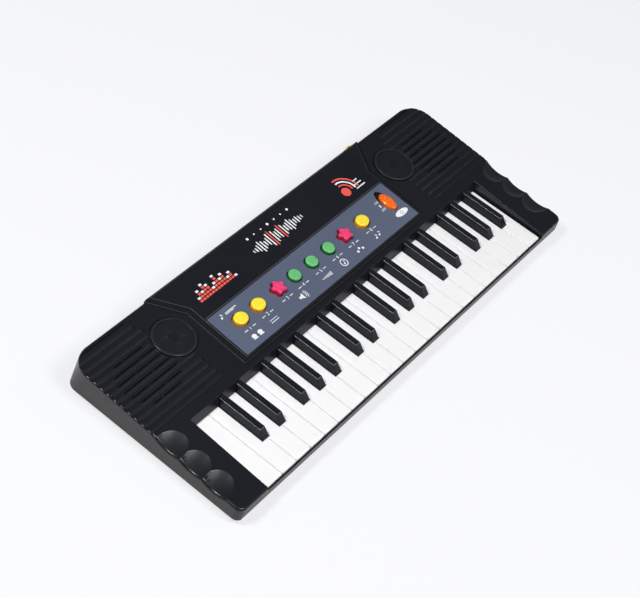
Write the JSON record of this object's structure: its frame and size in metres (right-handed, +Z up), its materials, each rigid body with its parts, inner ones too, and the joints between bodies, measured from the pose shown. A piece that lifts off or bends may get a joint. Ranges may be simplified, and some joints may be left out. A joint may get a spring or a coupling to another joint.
{
  "type": "toy electronic keyboard",
  "caption": "Low wedge-shaped toy keyboard with dipping white and black keys, push buttons, a power slider, ridged speaker grilles and a rear audio socket.",
  "frame": {"origin": "on the ground under the middle of the bounding box, between the rubber feet", "axes": "+X along the keys to the end with the power slider, +Y from the player to the rear, +Z up"},
  "size_m": [0.41, 0.164, 0.033],
  "materials": {
    "case_black": "satin, near-black with a cool cast",
    "base_black": "fine matt grain",
    "panel_grey": "satin slate grey",
    "key_white": "polished cool white",
    "key_black": "polished black",
    "button_yellow": "glossy yellow",
    "button_green": "glossy green",
    "button_pink": "glossy pink",
    "slider_orange": "glossy orange",
    "contact_rubber": "matt silicone rubber",
    "board_green": "satin circuit board",
    "rod_steel": "drawn steel",
    "speaker_dark": "satin dark",
    "screw_steel": "plated steel",
    "foot_rubber": "matt",
    "jack_yellow": "glossy yellow"
  },
  "bodies": {
    "case": {"top_case": "case_black", "bottom_case": "base_black", "control_overlay": "panel_grey", "button_membrane": "contact_rubber", "control_board": "board_green", "key_contact_strip": "contact_rubber", "key_board": "board_green", "key_pivot_rod": "rod_steel", "loudspeakers": "speaker_dark", "battery_box": "base_black", "case_screws": "screw_steel", "rubber_feet": "foot_rubber", "rear_jack": "jack_yellow"},
    "battery_door": {"battery_door": "base_black"},
    "power_slider": {"power_slider": "slider_orange"},
    "button_yellow_1": {"button_yellow_1": "button_yellow"},
    "button_yellow_2": {"button_yellow_2": "button_yellow"},
    "button_star_1": {"button_star_1": "button_pink"},
    "button_green_1": {"button_green_1": "button_green"},
    "button_green_2": {"button_green_2": "button_green"},
    "button_green_3": {"button_green_3": "button_green"},
    "button_star_2": {"button_star_2": "button_pink"},
    "button_yellow_3": {"button_yellow_3": "button_yellow"},
    "white_key_01": {"white_key_01": "key_white"},
    "white_key_02": {"white_key_02": "key_white"},
    "white_key_03": {"white_key_03": "key_white"},
    "white_key_04": {"white_key_04": "key_white"},
    "white_key_05": {"white_key_05": "key_white"},
    "white_key_06": {"white_key_06": "key_white"},
    "white_key_07": {"white_key_07": "key_white"},
    "white_key_08": {"white_key_08": "key_white"},
    "white_key_09": {"white_key_09": "key_white"},
    "white_key_10": {"white_key_10": "key_white"},
    "white_key_11": {"white_key_11": "key_white"},
    "white_key_12": {"white_key_12": "key_white"},
    "white_key_13": {"white_key_13": "key_white"},
    "white_key_14": {"white_key_14": "key_white"},
    "white_key_15": {"white_key_15": "key_white"},
    "white_key_16": {"white_key_16": "key_white"},
    "white_key_17": {"white_key_17": "key_white"},
    "white_key_18": {"white_key_18": "key_white"},
    "white_key_19": {"white_key_19": "key_white"},
    "white_key_20": {"white_key_20": "key_white"},
    "white_key_21": {"white_key_21": "key_white"},
    "white_key_22": {"white_key_22": "key_white"},
    "black_key_01": {"black_key_01": "key_black"},
    "black_key_02": {"black_key_02": "key_black"},
    "black_key_03": {"black_key_03": "key_black"},
    "black_key_04": {"black_key_04": "key_black"},
    "black_key_05": {"black_key_05": "key_black"},
    "black_key_06": {"black_key_06": "key_black"},
    "black_key_07": {"black_key_07": "key_black"},
    "black_key_08": {"black_key_08": "key_black"},
    "black_key_09": {"black_key_09": "key_black"},
    "black_key_10": {"black_key_10": "key_black"},
    "black_key_11": {"black_key_11": "key_black"},
    "black_key_12": {"black_key_12": "key_black"},
    "black_key_13": {"black_key_13": "key_black"},
    "black_key_14": {"black_key_14": "key_black"},
    "black_key_15": {"black_key_15": "key_black"}
  },
  "joints": [
    {"name": "battery_door_hinge", "type": "hinge", "parent": "case", "child": "battery_door", "pos_m": [0, 0.0386, 0.002], "axis": [-1, 0, 0], "range_deg": [0, 70]},
    {"name": "power_slider_slide", "type": "slide", "parent": "case", "child": "power_slider", "axis": [0, 0.997, 0.0778], "range_m": [0, 0.0044]},
    {"name": "button_yellow_1_press", "type": "slide", "parent": "case", "child": "button_yellow_1", "axis": [0, 0.0778, -0.997], "range_m": [0, 0.0012], "stiffness_N_per_m": 400, "springref_m": -0.002, "deforming": ["button_membrane"]},
    {"name": "button_yellow_2_press", "type": "slide", "parent": "case", "child": "button_yellow_2", "axis": [0, 0.0778, -0.997], "range_m": [0, 0.0012], "stiffness_N_per_m": 400, "springref_m": -0.002, "deforming": ["button_membrane"]},
    {"name": "button_star_1_press", "type": "slide", "parent": "case", "child": "button_star_1", "axis": [0, 0.0778, -0.997], "range_m": [0, 0.0012], "stiffness_N_per_m": 400, "springref_m": -0.002, "deforming": ["button_membrane"]},
    {"name": "button_green_1_press", "type": "slide", "parent": "case", "child": "button_green_1", "axis": [0, 0.0778, -0.997], "range_m": [0, 0.0012], "stiffness_N_per_m": 400, "springref_m": -0.002, "deforming": ["button_membrane"]},
    {"name": "button_green_2_press", "type": "slide", "parent": "case", "child": "button_green_2", "axis": [0, 0.0778, -0.997], "range_m": [0, 0.0012], "stiffness_N_per_m": 400, "springref_m": -0.002, "deforming": ["button_membrane"]},
    {"name": "button_green_3_press", "type": "slide", "parent": "case", "child": "button_green_3", "axis": [0, 0.0778, -0.997], "range_m": [0, 0.0012], "stiffness_N_per_m": 400, "springref_m": -0.002, "deforming": ["button_membrane"]},
    {"name": "button_star_2_press", "type": "slide", "parent": "case", "child": "button_star_2", "axis": [0, 0.0778, -0.997], "range_m": [0, 0.0012], "stiffness_N_per_m": 400, "springref_m": -0.002, "deforming": ["button_membrane"]},
    {"name": "button_yellow_3_press", "type": "slide", "parent": "case", "child": "button_yellow_3", "axis": [0, 0.0778, -0.997], "range_m": [0, 0.0012], "stiffness_N_per_m": 400, "springref_m": -0.002, "deforming": ["button_membrane"]},
    {"name": "white_key_01_hinge", "type": "hinge", "parent": "case", "child": "white_key_01", "pos_m": [0, 0.0008, 0.0112], "axis": [1, 0, 0], "range_deg": [0, 2.1], "stiffness_Nm_per_rad": 0.3, "springref_deg": -3.44, "deforming": ["key_contact_strip"]},
    {"name": "black_key_01_hinge", "type": "hinge", "parent": "case", "child": "black_key_01", "pos_m": [0, 0.0008, 0.0112], "axis": [1, 0, 0], "range_deg": [0, 2.1], "stiffness_Nm_per_rad": 0.3, "springref_deg": -3.44, "deforming": ["key_contact_strip"]},
    {"name": "white_key_12_hinge", "type": "hinge", "parent": "case", "child": "white_key_12", "pos_m": [0, 0.0008, 0.0112], "axis": [1, 0, 0], "range_deg": [0, 2.1], "stiffness_Nm_per_rad": 0.3, "springref_deg": -3.44, "deforming": ["key_contact_strip"]},
    {"name": "black_key_08_hinge", "type": "hinge", "parent": "case", "child": "black_key_08", "pos_m": [0, 0.0008, 0.0112], "axis": [1, 0, 0], "range_deg": [0, 2.1], "stiffness_Nm_per_rad": 0.3, "springref_deg": -3.44, "deforming": ["key_contact_strip"]},
    {"name": "white_key_02_hinge", "type": "hinge", "parent": "case", "child": "white_key_02", "pos_m": [0, 0.0008, 0.0112], "axis": [1, 0, 0], "range_deg": [0, 2.1], "stiffness_Nm_per_rad": 0.3, "springref_deg": -3.44, "deforming": ["key_contact_strip"]},
    {"name": "white_key_03_hinge", "type": "hinge", "parent": "case", "child": "white_key_03", "pos_m": [0, 0.0008, 0.0112], "axis": [1, 0, 0], "range_deg": [0, 2.1], "stiffness_Nm_per_rad": 0.3, "springref_deg": -3.44, "deforming": ["key_contact_strip"]},
    {"name": "white_key_04_hinge", "type": "hinge", "parent": "case", "child": "white_key_04", "pos_m": [0, 0.0008, 0.0112], "axis": [1, 0, 0], "range_deg": [0, 2.1], "stiffness_Nm_per_rad": 0.3, "springref_deg": -3.44, "deforming": ["key_contact_strip"]},
    {"name": "white_key_05_hinge", "type": "hinge", "parent": "case", "child": "white_key_05", "pos_m": [0, 0.0008, 0.0112], "axis": [1, 0, 0], "range_deg": [0, 2.1], "stiffness_Nm_per_rad": 0.3, "springref_deg": -3.44, "deforming": ["key_contact_strip"]},
    {"name": "white_key_06_hinge", "type": "hinge", "parent": "case", "child": "white_key_06", "pos_m": [0, 0.0008, 0.0112], "axis": [1, 0, 0], "range_deg": [0, 2.1], "stiffness_Nm_per_rad": 0.3, "springref_deg": -3.44, "deforming": ["key_contact_strip"]},
    {"name": "white_key_07_hinge", "type": "hinge", "parent": "case", "child": "white_key_07", "pos_m": [0, 0.0008, 0.0112], "axis": [1, 0, 0], "range_deg": [0, 2.1], "stiffness_Nm_per_rad": 0.3, "springref_deg": -3.44, "deforming": ["key_contact_strip"]},
    {"name": "white_key_08_hinge", "type": "hinge", "parent": "case", "child": "white_key_08", "pos_m": [0, 0.0008, 0.0112], "axis": [1, 0, 0], "range_deg": [0, 2.1], "stiffness_Nm_per_rad": 0.3, "springref_deg": -3.44, "deforming": ["key_contact_strip"]},
    {"name": "white_key_09_hinge", "type": "hinge", "parent": "case", "child": "white_key_09", "pos_m": [0, 0.0008, 0.0112], "axis": [1, 0, 0], "range_deg": [0, 2.1], "stiffness_Nm_per_rad": 0.3, "springref_deg": -3.44, "deforming": ["key_contact_strip"]},
    {"name": "white_key_10_hinge", "type": "hinge", "parent": "case", "child": "white_key_10", "pos_m": [0, 0.0008, 0.0112], "axis": [1, 0, 0], "range_deg": [0, 2.1], "stiffness_Nm_per_rad": 0.3, "springref_deg": -3.44, "deforming": ["key_contact_strip"]},
    {"name": "white_key_11_hinge", "type": "hinge", "parent": "case", "child": "white_key_11", "pos_m": [0, 0.0008, 0.0112], "axis": [1, 0, 0], "range_deg": [0, 2.1], "stiffness_Nm_per_rad": 0.3, "springref_deg": -3.44, "deforming": ["key_contact_strip"]},
    {"name": "white_key_13_hinge", "type": "hinge", "parent": "case", "child": "white_key_13", "pos_m": [0, 0.0008, 0.0112], "axis": [1, 0, 0], "range_deg": [0, 2.1], "stiffness_Nm_per_rad": 0.3, "springref_deg": -3.44, "deforming": ["key_contact_strip"]},
    {"name": "white_key_14_hinge", "type": "hinge", "parent": "case", "child": "white_key_14", "pos_m": [0, 0.0008, 0.0112], "axis": [1, 0, 0], "range_deg": [0, 2.1], "stiffness_Nm_per_rad": 0.3, "springref_deg": -3.44, "deforming": ["key_contact_strip"]},
    {"name": "white_key_15_hinge", "type": "hinge", "parent": "case", "child": "white_key_15", "pos_m": [0, 0.0008, 0.0112], "axis": [1, 0, 0], "range_deg": [0, 2.1], "stiffness_Nm_per_rad": 0.3, "springref_deg": -3.44, "deforming": ["key_contact_strip"]},
    {"name": "white_key_16_hinge", "type": "hinge", "parent": "case", "child": "white_key_16", "pos_m": [0, 0.0008, 0.0112], "axis": [1, 0, 0], "range_deg": [0, 2.1], "stiffness_Nm_per_rad": 0.3, "springref_deg": -3.44, "deforming": ["key_contact_strip"]},
    {"name": "white_key_17_hinge", "type": "hinge", "parent": "case", "child": "white_key_17", "pos_m": [0, 0.0008, 0.0112], "axis": [1, 0, 0], "range_deg": [0, 2.1], "stiffness_Nm_per_rad": 0.3, "springref_deg": -3.44, "deforming": ["key_contact_strip"]},
    {"name": "white_key_18_hinge", "type": "hinge", "parent": "case", "child": "white_key_18", "pos_m": [0, 0.0008, 0.0112], "axis": [1, 0, 0], "range_deg": [0, 2.1], "stiffness_Nm_per_rad": 0.3, "springref_deg": -3.44, "deforming": ["key_contact_strip"]},
    {"name": "white_key_19_hinge", "type": "hinge", "parent": "case", "child": "white_key_19", "pos_m": [0, 0.0008, 0.0112], "axis": [1, 0, 0], "range_deg": [0, 2.1], "stiffness_Nm_per_rad": 0.3, "springref_deg": -3.44, "deforming": ["key_contact_strip"]},
    {"name": "white_key_20_hinge", "type": "hinge", "parent": "case", "child": "white_key_20", "pos_m": [0, 0.0008, 0.0112], "axis": [1, 0, 0], "range_deg": [0, 2.1], "stiffness_Nm_per_rad": 0.3, "springref_deg": -3.44, "deforming": ["key_contact_strip"]},
    {"name": "white_key_21_hinge", "type": "hinge", "parent": "case", "child": "white_key_21", "pos_m": [0, 0.0008, 0.0112], "axis": [1, 0, 0], "range_deg": [0, 2.1], "stiffness_Nm_per_rad": 0.3, "springref_deg": -3.44, "deforming": ["key_contact_strip"]},
    {"name": "white_key_22_hinge", "type": "hinge", "parent": "case", "child": "white_key_22", "pos_m": [0, 0.0008, 0.0112], "axis": [1, 0, 0], "range_deg": [0, 2.1], "stiffness_Nm_per_rad": 0.3, "springref_deg": -3.44, "deforming": ["key_contact_strip"]},
    {"name": "black_key_02_hinge", "type": "hinge", "parent": "case", "child": "black_key_02", "pos_m": [0, 0.0008, 0.0112], "axis": [1, 0, 0], "range_deg": [0, 2.1], "stiffness_Nm_per_rad": 0.3, "springref_deg": -3.44, "deforming": ["key_contact_strip"]},
    {"name": "black_key_03_hinge", "type": "hinge", "parent": "case", "child": "black_key_03", "pos_m": [0, 0.0008, 0.0112], "axis": [1, 0, 0], "range_deg": [0, 2.1], "stiffness_Nm_per_rad": 0.3, "springref_deg": -3.44, "deforming": ["key_contact_strip"]},
    {"name": "black_key_04_hinge", "type": "hinge", "parent": "case", "child": "black_key_04", "pos_m": [0, 0.0008, 0.0112], "axis": [1, 0, 0], "range_deg": [0, 2.1], "stiffness_Nm_per_rad": 0.3, "springref_deg": -3.44, "deforming": ["key_contact_strip"]},
    {"name": "black_key_05_hinge", "type": "hinge", "parent": "case", "child": "black_key_05", "pos_m": [0, 0.0008, 0.0112], "axis": [1, 0, 0], "range_deg": [0, 2.1], "stiffness_Nm_per_rad": 0.3, "springref_deg": -3.44, "deforming": ["key_contact_strip"]},
    {"name": "black_key_06_hinge", "type": "hinge", "parent": "case", "child": "black_key_06", "pos_m": [0, 0.0008, 0.0112], "axis": [1, 0, 0], "range_deg": [0, 2.1], "stiffness_Nm_per_rad": 0.3, "springref_deg": -3.44, "deforming": ["key_contact_strip"]},
    {"name": "black_key_07_hinge", "type": "hinge", "parent": "case", "child": "black_key_07", "pos_m": [0, 0.0008, 0.0112], "axis": [1, 0, 0], "range_deg": [0, 2.1], "stiffness_Nm_per_rad": 0.3, "springref_deg": -3.44, "deforming": ["key_contact_strip"]},
    {"name": "black_key_09_hinge", "type": "hinge", "parent": "case", "child": "black_key_09", "pos_m": [0, 0.0008, 0.0112], "axis": [1, 0, 0], "range_deg": [0, 2.1], "stiffness_Nm_per_rad": 0.3, "springref_deg": -3.44, "deforming": ["key_contact_strip"]},
    {"name": "black_key_10_hinge", "type": "hinge", "parent": "case", "child": "black_key_10", "pos_m": [0, 0.0008, 0.0112], "axis": [1, 0, 0], "range_deg": [0, 2.1], "stiffness_Nm_per_rad": 0.3, "springref_deg": -3.44, "deforming": ["key_contact_strip"]},
    {"name": "black_key_11_hinge", "type": "hinge", "parent": "case", "child": "black_key_11", "pos_m": [0, 0.0008, 0.0112], "axis": [1, 0, 0], "range_deg": [0, 2.1], "stiffness_Nm_per_rad": 0.3, "springref_deg": -3.44, "deforming": ["key_contact_strip"]},
    {"name": "black_key_12_hinge", "type": "hinge", "parent": "case", "child": "black_key_12", "pos_m": [0, 0.0008, 0.0112], "axis": [1, 0, 0], "range_deg": [0, 2.1], "stiffness_Nm_per_rad": 0.3, "springref_deg": -3.44, "deforming": ["key_contact_strip"]},
    {"name": "black_key_13_hinge", "type": "hinge", "parent": "case", "child": "black_key_13", "pos_m": [0, 0.0008, 0.0112], "axis": [1, 0, 0], "range_deg": [0, 2.1], "stiffness_Nm_per_rad": 0.3, "springref_deg": -3.44, "deforming": ["key_contact_strip"]},
    {"name": "black_key_14_hinge", "type": "hinge", "parent": "case", "child": "black_key_14", "pos_m": [0, 0.0008, 0.0112], "axis": [1, 0, 0], "range_deg": [0, 2.1], "stiffness_Nm_per_rad": 0.3, "springref_deg": -3.44, "deforming": ["key_contact_strip"]},
    {"name": "black_key_15_hinge", "type": "hinge", "parent": "case", "child": "black_key_15", "pos_m": [0, 0.0008, 0.0112], "axis": [1, 0, 0], "range_deg": [0, 2.1], "stiffness_Nm_per_rad": 0.3, "springref_deg": -3.44, "deforming": ["key_contact_strip"]}
  ]
}
